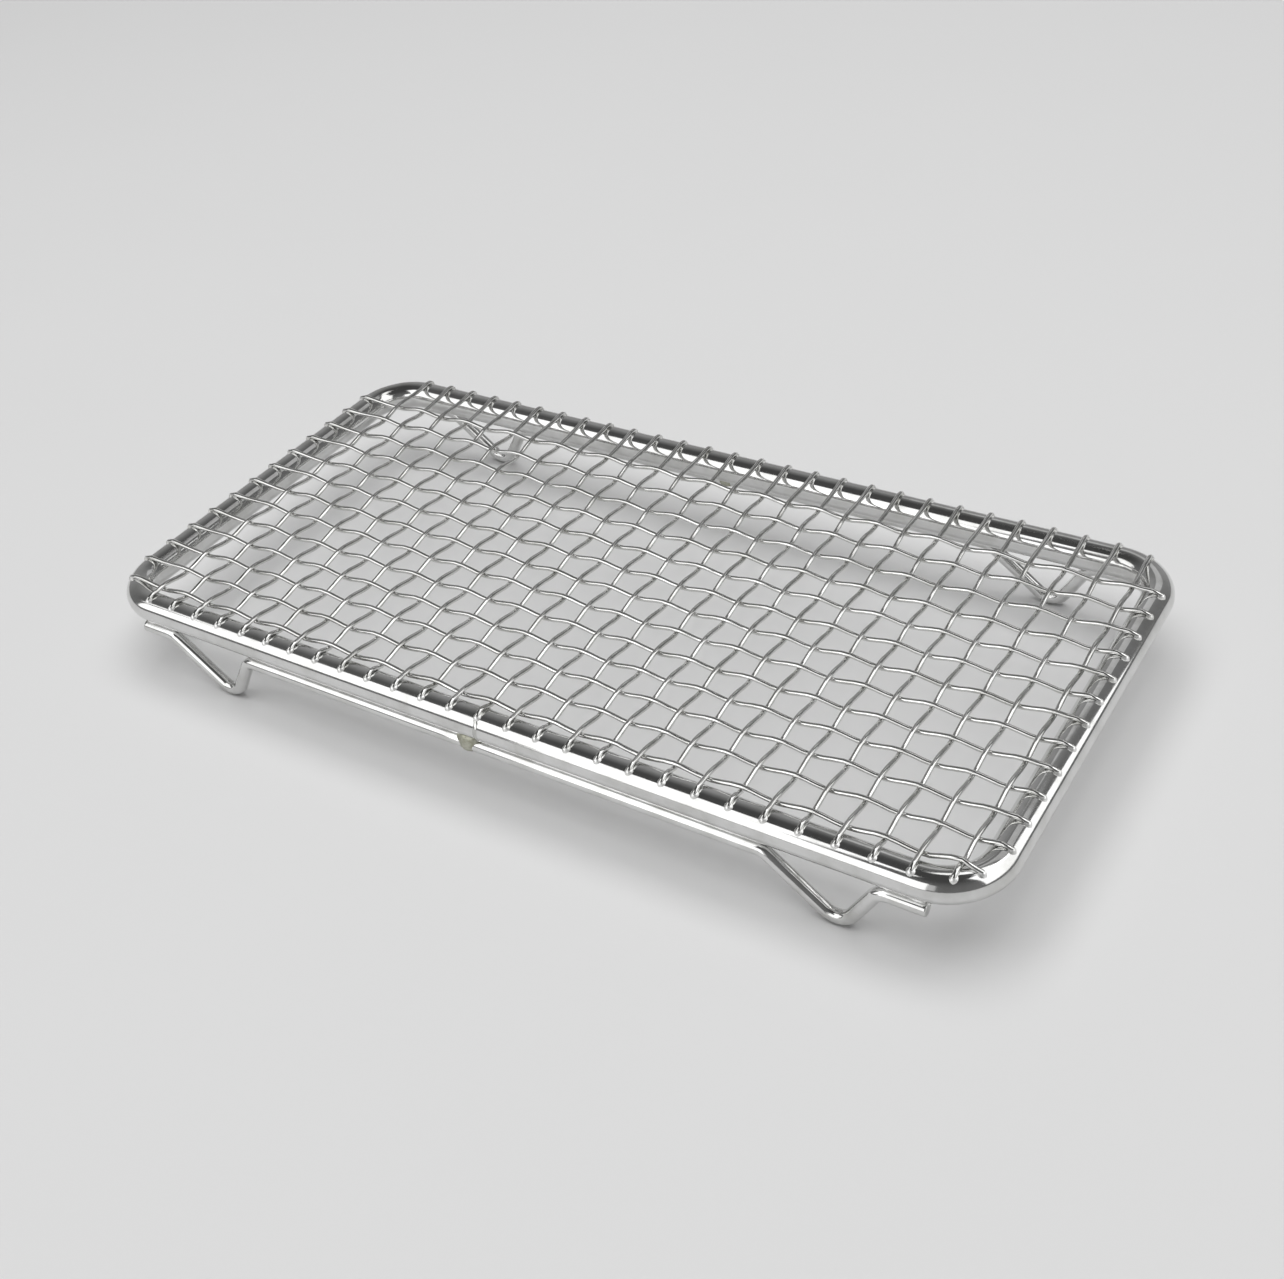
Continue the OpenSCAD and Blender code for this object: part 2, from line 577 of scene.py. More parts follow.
BRIGHT: Point = (0.71, 0.71, 0.705)
DULL: Point = (0.58, 0.58, 0.565)
SEAM_DULL: Point = (0.44, 0.44, 0.42)
BEAD_BRIGHT: Point = (0.88, 0.88, 0.87)
BEAD_DULL: Point = (0.76, 0.76, 0.74)
MESH_BRIGHT: Point = (0.70, 0.70, 0.69)
MESH_DULL: Point = (0.54, 0.54, 0.52)
WELD_PALE: Point = (0.50, 0.50, 0.43)
WELD_BURNT: Point = (0.31, 0.31, 0.24)
PAPER: Point = (0.80, 0.80, 0.80)


@dataclass
class Finishes:
    """The finishes of the rack, each made once."""

    rim: bpy.types.Material = field(init=False)
    cross: bpy.types.Material = field(init=False)
    along: bpy.types.Material = field(init=False)
    leg: bpy.types.Material = field(init=False)
    weld: bpy.types.Material = field(init=False)
    bead: bpy.types.Material = field(init=False)
    seam: bpy.types.Material = field(init=False)

    def __post_init__(self) -> None:
        """Makes them."""
        self.rim = ChromeFinish("rim_plating", BRIGHT, DULL, Run.BENT, (0.09, 0.16), 0.10).make()
        self.cross = ChromeFinish(
            "cross_wire_plating", MESH_BRIGHT, MESH_DULL, Run.ALONG_Y, (0.10, 0.20), 0.22
        ).make()
        self.along = ChromeFinish(
            "long_wire_plating", MESH_BRIGHT, MESH_DULL, Run.ALONG_X, (0.10, 0.20), 0.22
        ).make()
        self.leg = ChromeFinish(
            "leg_wire_plating", BRIGHT, DULL, Run.ALONG_X, (0.08, 0.18), 0.2
        ).make()
        self.weld = WeldFinish("weld_skin", WELD_PALE, WELD_BURNT).make()
        self.bead = ChromeFinish(
            "bead_plating", BEAD_BRIGHT, BEAD_DULL, Run.BENT, (0.38, 0.52), 0.15
        ).make()
        self.seam = ChromeFinish(
            "seam_plating", DULL, SEAM_DULL, Run.BENT, (0.12, 0.24), 0.25
        ).make()


def dress(
    obj: bpy.types.Object, material: bpy.types.Material, slot: Slot, nodes: Sequence[str] = ()
) -> None:
    """Gives a finished piece its material, its body and the nodes it stands for.

    Args:
        obj: The piece.
        material: Its finish.
        slot: Not used.
        nodes: The nodes it stands for.
    """
    obj.data.materials.clear()
    obj.data.materials.append(material)
    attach(obj, "root")
    if nodes:
        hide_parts(*nodes)
    LOG.info("%s: %d faces", obj.name, len(obj.data.polygons))


# ---------------------------------------------------------------- the rack's sizes


@dataclass(frozen=True)
class RackSizes:
    """Sizes that the rack's pieces share, in millimetres."""

    rack_length: float = 254.0
    rack_width: float = 127.0
    rim_r: float = 4.0
    corner_r: float = 13.0
    leg_r: float = 1.7
    leg_run_z: float = 14.0
    leg_lean: float = 20.0
    wire_r: float = 0.6
    seat: float = 0.03

    @property
    def rim_half_x(self) -> float:
        """Half the rim's length, at the wire's centre."""
        return self.rack_length / 2 - self.rim_r

    @property
    def rim_half_y(self) -> float:
        """Half the rim's width, at the wire's centre."""
        return self.rack_width / 2 - self.rim_r

    @property
    def rim_z(self) -> float:
        """Height of the rim wire's centre, which lies on the leg wires."""
        lean = math.radians(self.leg_lean)
        return self.leg_run_z + (self.rim_r + self.leg_r + self.seat) * math.cos(lean)

    @property
    def leg_y(self) -> float:
        """Distance of a leg wire's centre from the rack's middle plane."""
        lean = math.radians(self.leg_lean)
        return self.rim_half_y + (self.rim_r + self.leg_r + self.seat) * math.sin(lean)

    @property
    def crown_r(self) -> float:
        """Distance from the rim's centre line to a wire that lies on it."""
        return self.rim_r + self.wire_r + self.seat


@dataclass(frozen=True)
class Weave:
    """The woven mesh's layout, in millimetres."""

    sizes: RackSizes
    pitch: float = 8.4
    cross_count: int = 28
    long_count: int = 13
    shift_x: float = 4.0
    shift_y: float = -5.0
    dish: float = 1.4
    crimp: float = 0.62
    wrap: float = 26.0
    rise: float = 0.1
    press: float = 0.35
    square_slope: float = 0.999
    square_start: float = -8.0
    end_steps: int = 8
    bridge_steps: int = 6
    steps_per_pitch: int = 10
    corner_reach: float = 5.0
    corner_zone: float = 100.0

    @property
    def plane(self) -> float:
        """Height of the mesh's middle plane at its edge, just over the top of the rim."""
        return self.sizes.rim_z + self.sizes.rim_r + self.rise

    def cross_x(self, i: int) -> float:
        """Where cross wire i stands along the rack."""
        return self.shift_x + (i - (self.cross_count - 1) / 2) * self.pitch

    def long_y(self, j: int) -> float:
        """Where long wire j stands across the rack."""
        return self.shift_y + (j - (self.long_count - 1) / 2) * self.pitch

    def level(self, x: float, y: float) -> float:
        """Height of the mesh's middle plane at a place.

        Args:
            x: Place along the rack.
            y: Place across it.

        Returns:
            The height, with the dish.
        """
        u = (x - self.shift_x) / (self.cross_count * self.pitch / 2)
        v = (y - self.shift_y) / (self.long_count * self.pitch / 2)
        return self.plane - self.dish * max(0.0, 1 - u * u) * max(0.0, 1 - v * v)

    def rest(self, x: float, y: float) -> float:
        """Lowest height at which a wire clears the rim at a place.

        Args:
            x: Place along the rack.
            y: Place across it.

        Returns:
            The height, or 0 away from the rim.
        """
        size = self.sizes
        dx = max(abs(x) - (size.rim_half_x - size.corner_r), 0.0)
        dy = max(abs(y) - (size.rim_half_y - size.corner_r), 0.0)
        gap = abs(math.hypot(dx, dy) - size.corner_r)
        if gap >= size.crown_r:
            return 0.0
        return size.rim_z + math.sqrt(size.crown_r**2 - gap**2)

    def end_points(self, across: float, half_across: float, half_along: float) -> list[Point]:
        """Lays a wire's end over the crown of the rim and presses its tip into the rim.

        Args:
            across: The wire's place across its own direction.
            half_across: Half the rim in that direction.
            half_along: Half the rim along the wire.

        Returns:
            Points of (distance from the middle, height, slope).
        """
        size = self.sizes
        into = max(0.0, abs(across) - (half_across - size.corner_r))
        slope = math.sqrt(1 - (into / size.corner_r) ** 2)
        reach = half_along - size.corner_r + size.corner_r * slope
        start = self.square_start if slope > self.square_slope else 0.0
        points = []
        for k in range(self.end_steps + 1):
            part = k / self.end_steps
            a = math.radians(start + (self.wrap - start) * part)
            out = size.crown_r - self.press * part**2
            points.append(
                (
                    reach + out * math.sin(a) / slope,
                    size.rim_z + out * math.cos(a),
                    -math.tan(a) * slope,
                )
            )
        return points

    def bridge(self, start: tuple[float, float], end: Point) -> list[tuple[float, float]]:
        """Leads a wire smoothly from its last crossing to the rim.

        Args:
            start: (distance, height) of the last crossing, where the wire is level.
            end: (distance, height, slope) where it meets the rim.

        Returns:
            The points between.
        """
        run = end[0] - start[0]
        points = []
        for k in range(1, self.bridge_steps):
            t = k / self.bridge_steps
            h1, h2, h3 = 2 * t**3 - 3 * t**2 + 1, 3 * t**2 - 2 * t**3, t**3 - t**2
            points.append((start[0] + run * t, h1 * start[1] + h2 * end[1] + h3 * run * end[2]))
        return points

    def wire_line(
        self, first: float, count: int, height: Callable[[float], float], end: list[Point]
    ) -> list[tuple[float, float]]:
        """Draws a whole wire, from end to end.

        Args:
            first: Place of its first crossing.
            count: Number of crossings.
            height: Its height at a place between the first and the last crossing.
            end: Both its ends, as end_points gives them.

        Returns:
            Points of (place, height).
        """
        last = first + (count - 1) * self.pitch
        steps = (count - 1) * self.steps_per_pitch
        woven = [
            (s, height(s)) for s in (first + (last - first) * k / steps for k in range(steps + 1))
        ]
        low = self.bridge((-first, woven[0][1]), end[0])
        high = self.bridge((last, woven[-1][1]), end[0])
        return [
            *((-s, z) for s, z, _ in reversed(end)),
            *((-s, z) for s, z in reversed(low)),
            *woven,
            *high,
            *((s, z) for s, z, _ in end),
        ]

    def lift(self, x: float, y: float) -> float:
        """Height of the upper wire where two wires cross on the rim's front right corner.

        Args:
            x: Place along the rack.
            y: Place across it.

        Returns:
            The lowest height at which it clears the rim and the wire below it.
        """
        corner = (self.cross_x(self.cross_count - 1), self.long_y(0))
        away = math.hypot(x - corner[0], y - corner[1]) / self.corner_reach
        if away >= 1.0:
            return self.rest(x, y)
        common = self.plane + self.crimp
        rise = self.rest(*corner) + 2 * self.crimp - common
        return max(self.rest(x, y), common + rise * (0.5 + 0.5 * math.cos(math.pi * away)))

    def cross_line(self, i: int) -> list[Point]:
        """Draws cross wire i.

        Args:
            i: Its number, from 0 at the left.

        Returns:
            Its line, in metres.
        """
        x, first = self.cross_x(i), self.long_y(0)
        sign = -1.0 if i % 2 else 1.0

        def height(y: float) -> float:
            """Gives the wire's height.

            Args:
                y: Place across the rack.

            Returns:
                The height.
            """
            wave = sign * self.crimp * math.cos(math.pi * (y - first) / self.pitch)
            plain = self.level(x, y) + wave
            return max(plain, self.rest(x, y)) if i == self.cross_count - 1 else plain

        end = self.end_points(x, self.sizes.rim_half_x, self.sizes.rim_half_y)
        line = self.wire_line(first, self.long_count, height, end)
        return [(x * MM, y * MM, z * MM) for y, z in line]

    def long_line(self, j: int) -> list[Point]:
        """Draws long wire j.

        Args:
            j: Its number, from 0 at the front.

        Returns:
            Its line, in metres.
        """
        y, first = self.long_y(j), self.cross_x(0)
        sign = 1.0 if j % 2 else -1.0

        def height(x: float) -> float:
            """Gives the wire's height.

            Args:
                x: Place along the rack.

            Returns:
                The height.
            """
            wave = sign * self.crimp * math.cos(math.pi * (x - first) / self.pitch)
            plain = self.level(x, y) + wave
            near_corner = j == 0 and x > self.corner_zone
            return max(plain, self.lift(x, y)) if near_corner else plain

        end = self.end_points(y, self.sizes.rim_half_y, self.sizes.rim_half_x)
        line = self.wire_line(first, self.cross_count, height, end)
        return [(x * MM, y * MM, z * MM) for x, z in line]


# ---------------------------------------------------------------- the mesh


@dataclass
class WovenMesh:
    """The crimped wires of the mesh and the small welds that hold their ends to the rim."""

    weave: Weave
    finishes: Finishes
    sides: int = 14
    cross_rings: int = 146
    long_rings: int = 296
    cut_bevel: float = 0.18
    cut_steps: int = 2
    bead_radii: Point = (0.92, 0.8, 0.688)
    bead_foot: float = 0.1
    bead_flare: Point = (1.2, 1.25, 1.0)
    bead_sink: float = 0.24

    def straight_wire(self, name: str, cuts: int) -> bpy.types.Object:
        """Models one straight wire a metre long, with rings to bend it at.

        Args:
            name: Its name.
            cuts: Number of rings between its ends.

        Returns:
            The wire, along +X from the origin.
        """
        deselect()
        bpy.ops.mesh.primitive_cylinder_add(
            vertices=self.sides,
            radius=self.weave.sizes.wire_r * MM,
            depth=1.0,
            location=(0.5, 0, 0),
            rotation=LAID_ALONG_X,
        )
        wire = bpy.context.object
        wire.name = name
        settle(wire)
        edit(wire)
        pick_edges(wire, lambda a, b: abs(a.x - b.x) > 0.5)
        bpy.ops.mesh.subdivide(number_cuts=cuts)
        leave_edit()
        return wire

    def bend(self, master: bpy.types.Object, name: str, line: list[Point]) -> bpy.types.Object:
        """Copies the straight wire and bends the copy along a line.

        Args:
            master: The straight wire.
            name: The new wire's name.
            line: Its centre line, in metres.

        Returns:
            The bent wire.
        """
        wire = copy_of(master, name)
        edit(wire)
        bpy.ops.mesh.select_all(action="SELECT")
        resize((length_of(line), 1.0, 1.0))
        leave_edit()
        guide = guide_line(line)
        modifier = wire.modifiers.new("follow", "CURVE")
        modifier.object = guide
        modifier.deform_axis = "POS_X"
        bpy.context.view_layer.update()
        apply_modifiers(wire)
        drop(guide)
        break_cut_ends(wire, self.cut_bevel, self.cut_steps)
        return wire

    def bead(self) -> bpy.types.Object:
        """Models one small weld, a low dome with a foot that flows out over the rim.

        Returns:
            The dome at the origin, its length along +X.
        """
        dome = ellipsoid("end_weld", segments=14, rings=10, radii=self.bead_radii)
        pick_verts(dome, lambda co: co.z < self.bead_foot * MM)
        resize(self.bead_flare)
        close_up()
        return dome

    def build(self) -> None:
        """Builds every wire and every end weld, and dresses them."""
        weave = self.weave
        beads: list[tuple[Vector, Vector]] = []
        master = self.straight_wire("cross_master", self.cross_rings)
        for i in range(weave.cross_count):
            line = weave.cross_line(i)
            name = f"cross_wire_{i + 1:02d}"
            wire = self.bend(master, f"crimped_{name}", line)
            dress(wire, self.finishes.cross, Slot.MESH, [name])
            beads += self.ends(line)
        drop(master)
        master = self.straight_wire("long_master", self.long_rings)
        for j in range(weave.long_count):
            line = weave.long_line(j)
            name = f"long_wire_{j + 1:02d}"
            wire = self.bend(master, f"crimped_{name}", line)
            dress(wire, self.finishes.along, Slot.MESH, [name])
            beads += self.ends(line)
        drop(master)
        self.place_beads(beads)

    def ends(self, line: list[Point]) -> list[tuple[Vector, Vector]]:
        """Finds the two ends of a wire.

        Args:
            line: The wire's centre line.

        Returns:
            For each end its place and the direction the wire points in.
        """
        return [
            (Vector(line[0]), (Vector(line[0]) - Vector(line[1])).normalized()),
            (Vector(line[-1]), (Vector(line[-1]) - Vector(line[-2])).normalized()),
        ]

    def place_beads(self, ends: list[tuple[Vector, Vector]]) -> None:
        """Copies the small weld to every wire end and joins the copies.

        Args:
            ends: Each end's place and direction.
        """
        one = self.bead()
        copies = []
        for number, (place, along) in enumerate(ends):
            copy = copy_of(one, f"end_weld_{number:03d}")
            side = Vector((0, 0, 1)).cross(along).normalized()
            out = along.cross(side).normalized()
            turn = Matrix((along, side, out)).transposed().to_4x4()
            down = out * self.bead_sink * MM
            copy.matrix_world = Matrix.Translation(place - down) @ turn
            copies.append(copy)
        drop(one)
        dress(join_as(copies, "mesh_end_welds"), self.finishes.bead, Slot.MESH)


# ---------------------------------------------------------------- the rim


@dataclass
class Rim:
    """The heavy wire round the mesh and the weld that closes it."""

    sizes: RackSizes
    finishes: Finishes
    sides: int = 48
    corner_steps: int = 18
    long_steps: int = 12
    short_steps: int = 6
    seam_width: float = 1.3
    seam_r: float = 0.25
    seam_sink: float = 0.12
    seam_grip: float = 3.2
    seam_pushes: tuple[tuple[float, float], ...] = (
        (20, 0.12),
        (95, -0.16),
        (170, 0.1),
        (250, -0.12),
        (310, 0.16),
    )

    def wire(self) -> bpy.types.Object:
        """Models the closed rim wire: a circle extruded along each side and spun round each corner.

        Returns:
            The rim wire.
        """
        size = self.sizes
        run_x = (size.rim_half_x - size.corner_r) * MM
        run_y = (size.rim_half_y - size.corner_r) * MM
        height = size.rim_z * MM
        deselect()
        bpy.ops.mesh.primitive_circle_add(
            vertices=self.sides,
            radius=size.rim_r * MM,
            fill_type="NOTHING",
            location=(-run_x, -size.rim_half_y * MM, height),
            rotation=LAID_ALONG_X,
        )
        rim = bpy.context.object
        rim.name = "rim_wire"
        settle(rim)
        edit(rim)
        bpy.ops.mesh.select_all(action="SELECT")
        runs = (
            ((2 * run_x, 0, 0), (run_x, -run_y)),
            ((0, 2 * run_y, 0), (run_x, run_y)),
            ((-2 * run_x, 0, 0), (-run_x, run_y)),
            ((0, -2 * run_y, 0), (-run_x, -run_y)),
        )
        for run, corner in runs:
            steps = self.long_steps if run[0] else self.short_steps
            step = tuple(value / steps for value in run)
            for _ in range(steps):
                bpy.ops.mesh.extrude_region_move(TRANSFORM_OT_translate={"value": step})
            bpy.ops.mesh.spin(
                steps=self.corner_steps,
                angle=-math.pi / 2,
                center=(corner[0], corner[1], height),
                axis=(0, 0, 1),
            )
        close_up()
        smooth(rim, ROUND_CREASE)
        return rim

    def seam(self) -> bpy.types.Object:
        """Models the closing weld, a low uneven bead round the wire.

        Returns:
            The bead.
        """
        size = self.sizes
        deselect()
        bpy.ops.mesh.primitive_torus_add(
            location=(0, -size.rim_half_y * MM, size.rim_z * MM),
            rotation=LAID_ALONG_X,
            major_radius=(size.rim_r - self.seam_sink) * MM,
            minor_radius=self.seam_r * MM,
            major_segments=64,
            minor_segments=12,
        )
        bead = bpy.context.object
        bead.name = "rim_seam"
        settle(bead)
        edit(bead)
        bpy.ops.mesh.select_all(action="SELECT")
        resize((self.seam_width / (2 * self.seam_r), 1.0, 1.0))
        for angle, push in self.seam_pushes:
            c, s = math.cos(math.radians(angle)), math.sin(math.radians(angle))
            pick_verts(
                bead,
                lambda co, c=c, s=s: (co.y / MM + size.rim_half_y) * c
                + (co.z / MM - size.rim_z) * s
                > self.seam_grip,
            )
            bpy.ops.transform.translate(value=(push * MM, 0, 0))
        close_up()
        smooth(bead, ROUND_CREASE)
        return bead

    def build(self) -> None:
        """Builds and dresses the rim."""
        dress(self.wire(), self.finishes.rim, Slot.RIM, ["rim"])
        dress(self.seam(), self.finishes.seam, Slot.WELD, ["rim_weld"])


# ---------------------------------------------------------------- the legs


@dataclass
class LegWires:
    """The leg wires under the long sides and the welds that join them."""

    sizes: RackSizes
    finishes: Finishes
    sides: int = 24
    left_foot: float = -86.0
    right_foot: float = 92.0
    foot_drop: float = 12.3
    long_flank: float = 17.0
    steep_flank: float = 10.0
    foot_bend: float = 4.6
    shoulder_bend: float = 4.0
    end_x: float = 113.0
    joint_x: float = -4.0
    joint_gap: float = 2.6
    run_steps: int = 10
    flank_steps: int = 2
    shoulder_steps: int = 7
    foot_steps: int = 16
    cut_bevel: float = 0.3
    cut_steps: int = 3
    weld_radii: Point = (3.2, 2.1, 2.15)
    weld_foot: float = 0.3
    weld_climb: float = 1.9
    weld_waists: tuple[tuple[float, float, float], ...] = ((-2.2, -0.8, 0.94), (0.5, 1.5, 0.95))
    fillet_radii: Point = (4.2, 1.5, 1.3)
    fillet_blunt: Point = (0.7, 1.1, 1.1)
    fillet_offset: Point = (-2.4, -1.06, 1.3)

    def flank_turn(self, width: float) -> float:
        """Works out the slope of a flank that leaves the bottom bend tangentially.

        Args:
            width: The flank's width along X.

        Returns:
            The slope, in radians.
        """
        rise = self.foot_drop - self.foot_bend
        return math.asin(self.foot_bend / math.hypot(width, rise)) + math.atan2(rise, width)

    def model(self, start: float, foot: float, end: float) -> bpy.types.Object:
        """Models one leg wire on the XZ plane through y = 0.

        Args:
            start: Place of its left end.
            foot: Place of the bottom of its foot.
            end: Place of its right end.

        Returns:
            The wire, with plain cut ends.
        """
        size = self.sizes
        top, low = size.leg_run_z, size.leg_r
        bend, shoulder = self.foot_bend, self.shoulder_bend
        deselect()
        bpy.ops.mesh.primitive_circle_add(
            vertices=self.sides,
            radius=size.leg_r * MM,
            fill_type="NGON",
            location=(start * MM, 0, top * MM),
            rotation=LAID_ALONG_X,
        )
        wire = bpy.context.object
        settle(wire)
        edit(wire)
        bpy.ops.mesh.select_all(action="SELECT")

        def straight(dx: float, dz: float, steps: int) -> None:
            """Extrudes a straight run.

            Args:
                dx: Its length along the rack.
                dz: Its rise.
                steps: Number of steps.
            """
            for _ in range(steps):
                bpy.ops.mesh.extrude_region_move(
                    TRANSFORM_OT_translate={"value": (dx * MM / steps, 0, dz * MM / steps)}
                )

        def curve(x: float, z: float, angle: float, steps: int) -> None:
            """Spins a bend about a place.

            Args:
                x: The place along the rack.
                z: Its height.
                angle: The bend's angle, in radians.
                steps: Number of steps.
            """
            bpy.ops.mesh.spin(
                steps=steps, angle=angle, center=(x * MM, 0, z * MM), axis=(0, 1, 0)
            )

        widths = (self.long_flank, self.steep_flank)
        turns = [self.flank_turn(width) for width in widths]
        knees = [width + shoulder * math.tan(turn / 2) for width, turn in zip(widths, turns)]
        bends = shoulder + bend
        spans = [knee - bends * math.sin(turn) for knee, turn in zip(knees, turns)]
        falls = [top - low - bends * (1 - math.cos(turn)) for turn in turns]
        straight(foot - knees[0] - start, 0, self.run_steps)
        curve(foot - knees[0], top - shoulder, -turns[0], self.shoulder_steps)
        straight(spans[0], -falls[0], self.flank_steps)
        curve(foot, low + bend, sum(turns), self.foot_steps)
        straight(spans[1], falls[1], self.flank_steps)
        curve(foot + knees[1], top - shoulder, -turns[1], self.shoulder_steps)
        straight(end - foot - knees[1], 0, self.run_steps)
        close_up()
        return wire

    def blob(self) -> bpy.types.Object:
        """Models the weld between two leg wires, an uneven barrel that climbs the rim's side.

        Returns:
            The weld, centred on the origin.
        """
        blob = ellipsoid(
            "joint_weld", segments=24, rings=14, radii=self.weld_radii, turn=LAID_ALONG_X
        )
        pick_verts(blob, lambda co: co.z > self.weld_foot * MM)
        bpy.ops.transform.translate(value=(0, 0, self.weld_climb * MM))
        for low, high, shrink in self.weld_waists:
            pick_verts(blob, lambda co, low=low, high=high: low * MM < co.x < high * MM)
            resize((1.0, shrink, shrink))
        close_up()
        smooth(blob, ROUND_CREASE)
        return blob

    def fillet(self) -> bpy.types.Object:
        """Models the small weld that holds a leg wire's outer end to the rim.

        Returns:
            The weld, centred on the origin and long along X.
        """
        fillet = ellipsoid(
            "leg_end_weld", segments=18, rings=12, radii=self.fillet_radii, turn=LAID_ALONG_X
        )
        pick_verts(fillet, lambda co: co.x > 0)
        resize(self.fillet_blunt)
        close_up()
        return fillet

    def build(self) -> None:
        """Builds the leg wires and their welds."""
        self.build_wires()
        self.build_joint_welds()
        self.build_end_welds()

    def build_wires(self) -> None:
        """Models the left and the right leg wire and copies both to the two long sides."""
        half_gap = self.joint_gap / 2
        left = self.model(-self.end_x, self.left_foot, self.joint_x - half_gap)
        right = self.model(self.joint_x + half_gap, self.right_foot, self.end_x)
        for wire in (right, left):
            break_cut_ends(wire, self.cut_bevel, self.cut_steps)
        for side, sign in LONG_SIDES:
            for end, shape in (("left", left), ("right", right)):
                node = f"leg_wire_{side}_{end}"
                wire = copy_of(shape, f"bent_{node}")
                wire.location = (0, sign * self.sizes.leg_y * MM, 0)
                settle(wire)
                dress(wire, self.finishes.leg, Slot.LEG, [node])
        drop(right)
        drop(left)

    def build_joint_welds(self) -> None:
        """Models the weld in the middle of a long side and copies it to both."""
        size = self.sizes
        blob = self.blob()
        for side, sign in LONG_SIDES:
            weld = copy_of(blob, f"joint_weld_{side}")
            weld.location = (self.joint_x * MM, sign * size.leg_y * MM, size.leg_run_z * MM)
            settle(weld)
            dress(weld, self.finishes.weld, Slot.WELD, [f"leg_weld_{side}"])
        drop(blob)

    def build_end_welds(self) -> None:
        """Models the weld at a leg wire's outer end, copies it to all four and joins them."""
        fillet = self.fillet()
        wire_end = (self.end_x, self.sizes.leg_y, self.sizes.leg_run_z)
        x, y, z = (place + offset for place, offset in zip(wire_end, self.fillet_offset))
        ends = []
        for x_sign, y_sign in ((-1, -1), (1, -1), (-1, 1), (1, 1)):
            end = copy_of(fillet, f"leg_end_weld_{len(ends)}")
            end.rotation_euler = (0, 0, 0 if x_sign > 0 else math.pi)
            end.location = (x_sign * x * MM, y_sign * y * MM, z * MM)
            ends.append(end)
        drop(fillet)
        dress(join_as(ends, "leg_end_welds"), self.finishes.bead, Slot.LEG)


# ---------------------------------------------------------------- the studio


@dataclass(frozen=True)
class Softbox:
    """A soft light, an even rectangle that either lights the floor or shows in the chrome."""

    name: str
    place: Point
    aim: Point
    size: tuple[float, float]
    brightness: float
    for_floor: bool = False

    def hang(self) -> None:
        """Hangs the light and turns it to its aim."""
        data = bpy.data.lights.new(self.name, "AREA")
        data.shape = "RECTANGLE"
        data.size, data.size_y = self.size
        data.energy = self.brightness * math.pi * self.size[0] * self.size[1]
        lamp = bpy.data.objects.new(self.name, data)
        bpy.context.scene.collection.objects.link(lamp)
        lamp.location = self.place
        direction = Vector(self.aim) - Vector(self.place)
        lamp.rotation_euler = direction.to_track_quat("-Z", "Y").to_euler()
        lamp.visible_camera = False
        lamp.visible_glossy = not self.for_floor
        lamp.visible_diffuse = self.for_floor


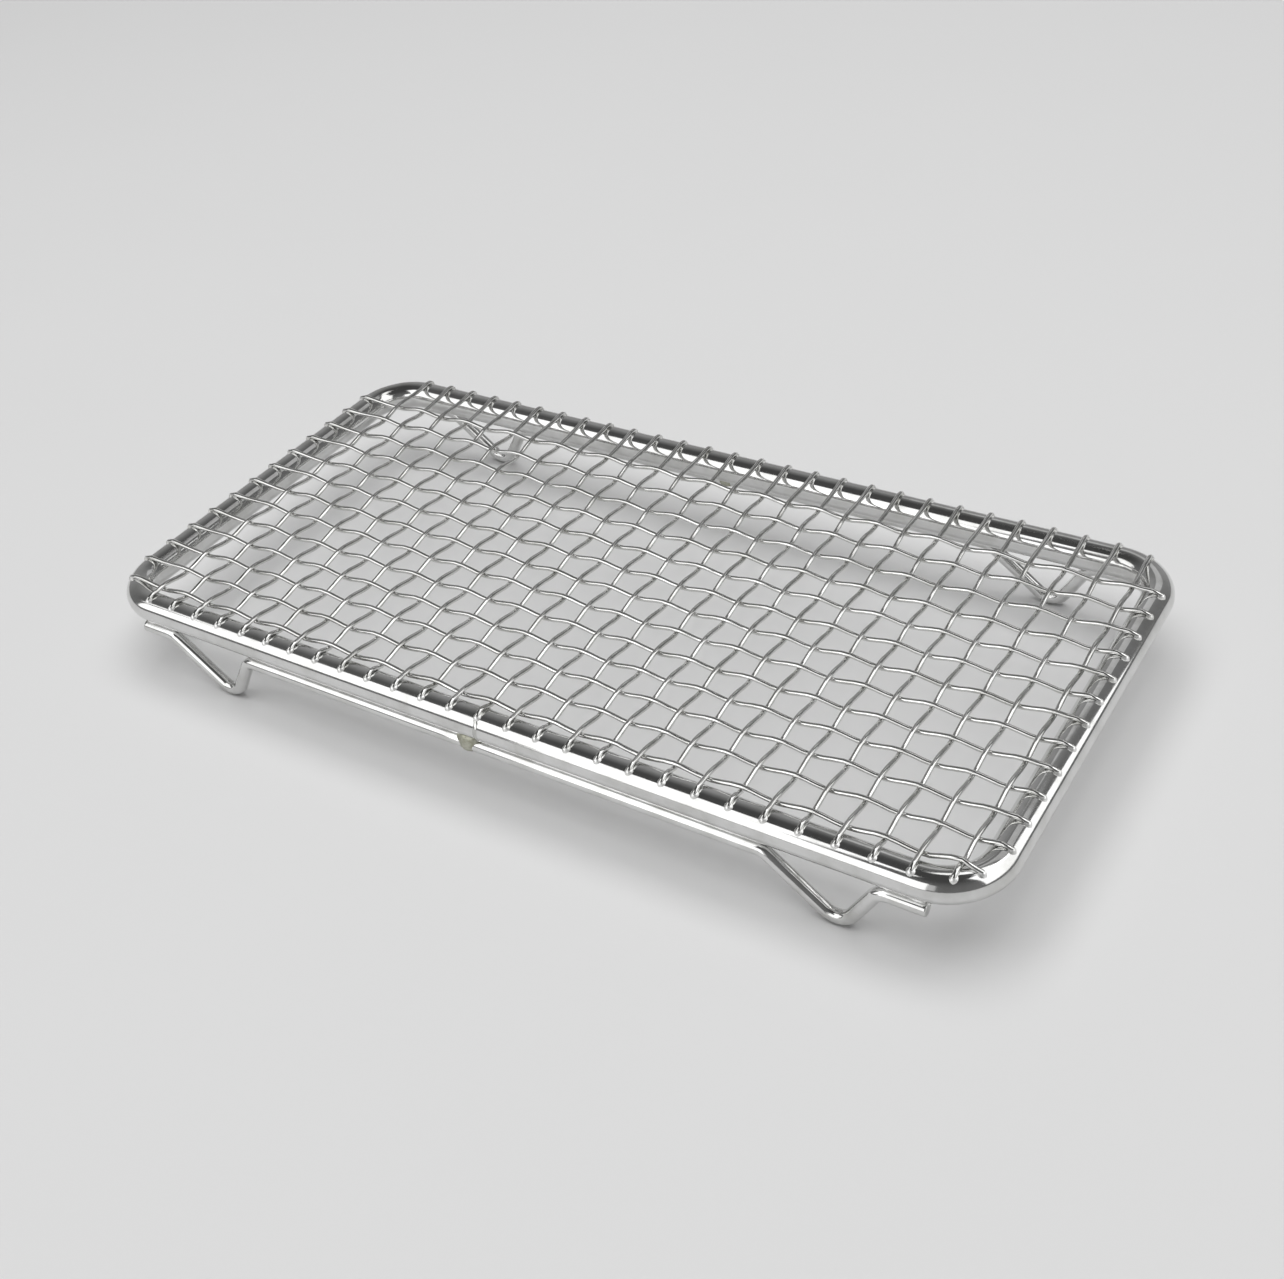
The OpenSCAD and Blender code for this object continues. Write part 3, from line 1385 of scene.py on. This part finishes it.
@dataclass
class Studio:
    """The floor, the light and the camera."""

    floor_size: float = 8.0
    floor_z: float = -0.0001
    room: tuple[tuple[float, float], ...] = (
        (0.0, 0.36),
        (0.25, 0.34),
        (0.45, 0.32),
        (0.60, 0.29),
        (0.70, 0.25),
        (0.80, 0.205),
        (0.88, 0.145),
        (1.0, 0.13),
    )
    pale_side: Point = (-0.5, 0.87, 0.0)
    pale_from: float = 0.35
    pale_to: float = 0.85
    dark_share: float = 0.52
    softboxes: tuple[Softbox, ...] = (
        Softbox("front_softbox", (-0.515, -0.5, 0.66), (-0.515, 0.5, 0.66), (0.73, 1.08), 1.5),
        Softbox("front_left_softbox", (-1.09, -0.5, 1.02), (-1.09, 0.5, 1.02), (0.42, 0.45), 1.3),
        Softbox(
            "front_low_softbox", (-0.065, -0.5, 0.215), (-0.065, 0.5, 0.215), (0.37, 0.37), 1.45
        ),
        Softbox("right_softbox", (0.325, 0.03, 0.34), (-0.622, -0.295, 0.34), (0.338, 0.56), 1.4),
        Softbox("right_high_softbox", (0.36, 0.2, 0.66), (-1.0, 0.2, 0.66), (0.3, 0.48), 1.4),
        Softbox("top_softbox", (0.2, 0.31, 0.95), (0.2, 0.31, 0.0), (0.6, 0.22), 1.5),
        Softbox("front_edge_softbox", (0.165, -0.5, 0.21), (0.165, 0.5, 0.21), (0.09, 0.3), 0.45),
        Softbox("back_fill", (-0.08, 0.86, 0.68), (0.0, 0.0, 0.0), (0.5, 0.26), 0.32),
        Softbox("top_fill", (0.18, 0.66, 0.95), (0.18, 0.0, 0.0), (0.55, 0.25), 0.42),
        Softbox("floor_light", (0.0, 0.0, 2.0), (0.0, 0.0, 0.0), (2.4, 2.4), 2.4, True),
    )
    camera_place: Point = (0.20402, -0.26607, 0.26344)
    camera_turn: tuple[float, float, float, float] = (0.870010, 0.405238, 0.166187, 0.226377)
    lens: float = 45.158

    def build(self) -> None:
        """Sets the studio up."""
        deselect()
        bpy.ops.mesh.primitive_grid_add(
            x_subdivisions=8, y_subdivisions=8, size=self.floor_size, location=(0, 0, self.floor_z)
        )
        floor = bpy.context.object
        floor.name = "studio_floor"
        floor.data.materials.append(PaintFinish("floor_paper", PAPER).make())
        for box in self.softboxes:
            box.hang()
        self.set_room()
        self.set_camera()
        bpy.context.scene.view_settings.view_transform = "Standard"

    def set_room(self) -> None:
        """Makes the room round the rack: dark overhead, and paler low down on one side."""
        world = bpy.data.worlds.new("studio_room")
        world.use_nodes = True
        nodes, links = world.node_tree.nodes, world.node_tree.links
        coords = nodes.new("ShaderNodeTexCoord")
        height = nodes.new("ShaderNodeSeparateXYZ")
        ramp = nodes.new("ShaderNodeValToRGB")
        stops = ramp.color_ramp.elements
        while len(stops) < len(self.room):
            stops.new(0.5)
        for stop, (place, grey) in zip(stops, self.room):
            stop.position = place
            stop.color = (grey, grey, grey, 1.0)
        facing = nodes.new("ShaderNodeVectorMath")
        facing.operation = "DOT_PRODUCT"
        facing.inputs[1].default_value = self.pale_side
        share = nodes.new("ShaderNodeMapRange")
        share.inputs["From Min"].default_value = self.pale_from
        share.inputs["From Max"].default_value = self.pale_to
        share.inputs["To Min"].default_value = self.dark_share
        shade = nodes.new("ShaderNodeMath")
        shade.operation = "MULTIPLY"
        links.new(coords.outputs["Generated"], height.inputs["Vector"])
        links.new(coords.outputs["Generated"], facing.inputs[0])
        links.new(height.outputs["Z"], ramp.inputs["Fac"])
        links.new(facing.outputs["Value"], share.inputs["Value"])
        links.new(ramp.outputs["Color"], shade.inputs[0])
        links.new(share.outputs["Result"], shade.inputs[1])
        links.new(shade.outputs["Value"], nodes["Background"].inputs["Color"])
        bpy.context.scene.world = world

    def set_camera(self) -> None:
        """Sets the camera up."""
        data = bpy.data.cameras.new("view")
        data.lens = self.lens
        data.sensor_width = 36.0
        data.clip_start = 0.01
        data.clip_end = 50.0
        camera = bpy.data.objects.new("view", data)
        bpy.context.scene.collection.objects.link(camera)
        camera.location = self.camera_place
        camera.rotation_mode = "QUATERNION"
        camera.rotation_quaternion = Quaternion(self.camera_turn)
        bpy.context.scene.camera = camera


def main() -> None:
    """Builds the rack and the studio in order."""
    logging.basicConfig(level=logging.INFO, format="%(message)s")
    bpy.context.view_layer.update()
    sizes = RackSizes()
    finishes = Finishes()
    Rim(sizes, finishes).build()
    LegWires(sizes, finishes).build()
    WovenMesh(Weave(sizes), finishes).build()
    Studio().build()


if __name__ == "__main__":
    main()
